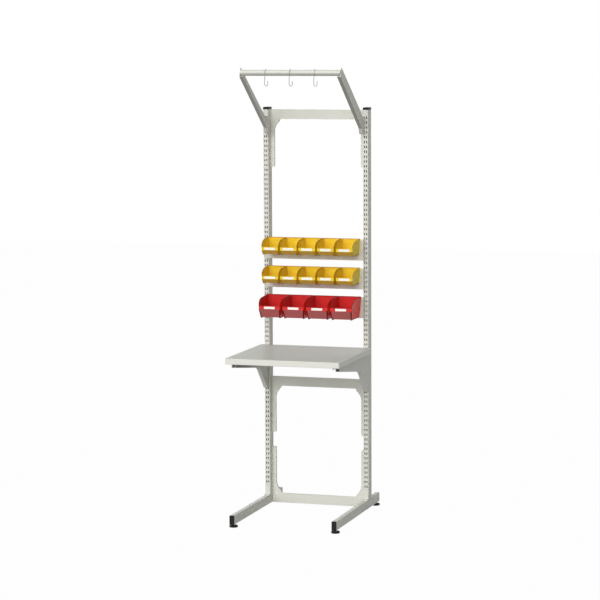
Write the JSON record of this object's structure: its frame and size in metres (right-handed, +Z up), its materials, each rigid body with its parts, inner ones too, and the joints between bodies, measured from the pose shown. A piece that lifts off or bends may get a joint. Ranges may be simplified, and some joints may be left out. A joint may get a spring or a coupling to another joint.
{
  "type": "workbench",
  "caption": "Narrow line workbench: slotted posts on levelled base legs, a cantilevered deck, rails of lift-off open bins and a hanger bar with swinging hooks on raked arms.",
  "frame": {"origin": "on the floor, under the middle of the base", "axes": "+X to the bench's right as a worker faces it, +Y to the back, +Z up"},
  "size_m": [0.6, 0.81, 2.3208],
  "materials": {
    "ivory_paint": "satin powder coat, warm ivory",
    "grey_laminate": "board with a smooth, rather glossy grey laminate",
    "cream_edging": "smooth cream edge band",
    "black_plastic": "moulded, fine grained",
    "zinc_steel": "bright zinc plated",
    "yellow_plastic": "moulded, half gloss",
    "red_plastic": "moulded, half gloss"
  },
  "bodies": {
    "bench": {"left_leg": "ivory_paint", "right_leg": "ivory_paint", "left_leg_front_cap": "black_plastic", "left_leg_rear_cap": "black_plastic", "right_leg_front_cap": "black_plastic", "right_leg_rear_cap": "black_plastic", "front_left_lock_nut": "zinc_steel", "front_right_lock_nut": "zinc_steel", "rear_left_lock_nut": "zinc_steel", "rear_right_lock_nut": "zinc_steel", "left_post": "ivory_paint", "right_post": "ivory_paint", "left_post_cap": "black_plastic", "right_post_cap": "black_plastic", "bottom_frame": "ivory_paint", "middle_frame": "ivory_paint", "top_frame": "ivory_paint", "left_deck_bracket": "ivory_paint", "right_deck_bracket": "ivory_paint", "deck_board": "grey_laminate", "deck_edging": "cream_edging", "left_arm": "ivory_paint", "right_arm": "ivory_paint", "hanger_bar": "ivory_paint", "upper_bin_rail": "ivory_paint", "middle_bin_rail": "ivory_paint", "lower_bin_rail": "ivory_paint"},
    "front_left_foot": {"front_left_pad": "black_plastic", "front_left_stem": "zinc_steel"},
    "front_right_foot": {"front_right_pad": "black_plastic", "front_right_stem": "zinc_steel"},
    "rear_left_foot": {"rear_left_pad": "black_plastic", "rear_left_stem": "zinc_steel"},
    "rear_right_foot": {"rear_right_pad": "black_plastic", "rear_right_stem": "zinc_steel"},
    "hook_1": {"hook_1": "zinc_steel"},
    "hook_2": {"hook_2": "zinc_steel"},
    "hook_3": {"hook_3": "zinc_steel"},
    "upper_yellow_bin_1": {"upper_yellow_bin_1": "yellow_plastic"},
    "upper_yellow_bin_2": {"upper_yellow_bin_2": "yellow_plastic"},
    "upper_yellow_bin_3": {"upper_yellow_bin_3": "yellow_plastic"},
    "upper_yellow_bin_4": {"upper_yellow_bin_4": "yellow_plastic"},
    "upper_yellow_bin_5": {"upper_yellow_bin_5": "yellow_plastic"},
    "middle_yellow_bin_1": {"middle_yellow_bin_1": "yellow_plastic"},
    "middle_yellow_bin_2": {"middle_yellow_bin_2": "yellow_plastic"},
    "middle_yellow_bin_3": {"middle_yellow_bin_3": "yellow_plastic"},
    "middle_yellow_bin_4": {"middle_yellow_bin_4": "yellow_plastic"},
    "middle_yellow_bin_5": {"middle_yellow_bin_5": "yellow_plastic"},
    "red_bin_1": {"red_bin_1": "red_plastic"},
    "red_bin_2": {"red_bin_2": "red_plastic"},
    "red_bin_3": {"red_bin_3": "red_plastic"},
    "red_bin_4": {"red_bin_4": "red_plastic"}
  },
  "joints": [
    {"name": "front_left_foot_screw", "type": "slide", "parent": "bench", "child": "front_left_foot", "axis": [0, 0, -1], "range_m": [0, 0.015]},
    {"name": "front_right_foot_screw", "type": "slide", "parent": "bench", "child": "front_right_foot", "axis": [0, 0, -1], "range_m": [0, 0.015]},
    {"name": "rear_left_foot_screw", "type": "slide", "parent": "bench", "child": "rear_left_foot", "axis": [0, 0, -1], "range_m": [0, 0.015]},
    {"name": "rear_right_foot_screw", "type": "slide", "parent": "bench", "child": "rear_right_foot", "axis": [0, 0, -1], "range_m": [0, 0.015]},
    {"name": "hook_1_swing", "type": "hinge", "parent": "bench", "child": "hook_1", "pos_m": [-0.129, -0.2343, 2.2958], "axis": [1, 0, 0], "range_deg": [-40, 40]},
    {"name": "hook_2_swing", "type": "hinge", "parent": "bench", "child": "hook_2", "pos_m": [0, -0.2343, 2.2958], "axis": [1, 0, 0], "range_deg": [-40, 40]},
    {"name": "hook_3_swing", "type": "hinge", "parent": "bench", "child": "hook_3", "pos_m": [0.129, -0.2343, 2.2958], "axis": [1, 0, 0], "range_deg": [-40, 40]},
    {"name": "upper_yellow_bin_1_lift", "type": "slide", "parent": "bench", "child": "upper_yellow_bin_1", "axis": [0, 0, 1], "range_m": [0, 0.02]},
    {"name": "upper_yellow_bin_2_lift", "type": "slide", "parent": "bench", "child": "upper_yellow_bin_2", "axis": [0, 0, 1], "range_m": [0, 0.02]},
    {"name": "upper_yellow_bin_3_lift", "type": "slide", "parent": "bench", "child": "upper_yellow_bin_3", "axis": [0, 0, 1], "range_m": [0, 0.02]},
    {"name": "upper_yellow_bin_4_lift", "type": "slide", "parent": "bench", "child": "upper_yellow_bin_4", "axis": [0, 0, 1], "range_m": [0, 0.02]},
    {"name": "upper_yellow_bin_5_lift", "type": "slide", "parent": "bench", "child": "upper_yellow_bin_5", "axis": [0, 0, 1], "range_m": [0, 0.02]},
    {"name": "middle_yellow_bin_1_lift", "type": "slide", "parent": "bench", "child": "middle_yellow_bin_1", "axis": [0, 0, 1], "range_m": [0, 0.02]},
    {"name": "middle_yellow_bin_2_lift", "type": "slide", "parent": "bench", "child": "middle_yellow_bin_2", "axis": [0, 0, 1], "range_m": [0, 0.02]},
    {"name": "middle_yellow_bin_3_lift", "type": "slide", "parent": "bench", "child": "middle_yellow_bin_3", "axis": [0, 0, 1], "range_m": [0, 0.02]},
    {"name": "middle_yellow_bin_4_lift", "type": "slide", "parent": "bench", "child": "middle_yellow_bin_4", "axis": [0, 0, 1], "range_m": [0, 0.02]},
    {"name": "middle_yellow_bin_5_lift", "type": "slide", "parent": "bench", "child": "middle_yellow_bin_5", "axis": [0, 0, 1], "range_m": [0, 0.02]},
    {"name": "red_bin_1_lift", "type": "slide", "parent": "bench", "child": "red_bin_1", "axis": [0, 0, 1], "range_m": [0, 0.02]},
    {"name": "red_bin_2_lift", "type": "slide", "parent": "bench", "child": "red_bin_2", "axis": [0, 0, 1], "range_m": [0, 0.02]},
    {"name": "red_bin_3_lift", "type": "slide", "parent": "bench", "child": "red_bin_3", "axis": [0, 0, 1], "range_m": [0, 0.02]},
    {"name": "red_bin_4_lift", "type": "slide", "parent": "bench", "child": "red_bin_4", "axis": [0, 0, 1], "range_m": [0, 0.02]}
  ]
}
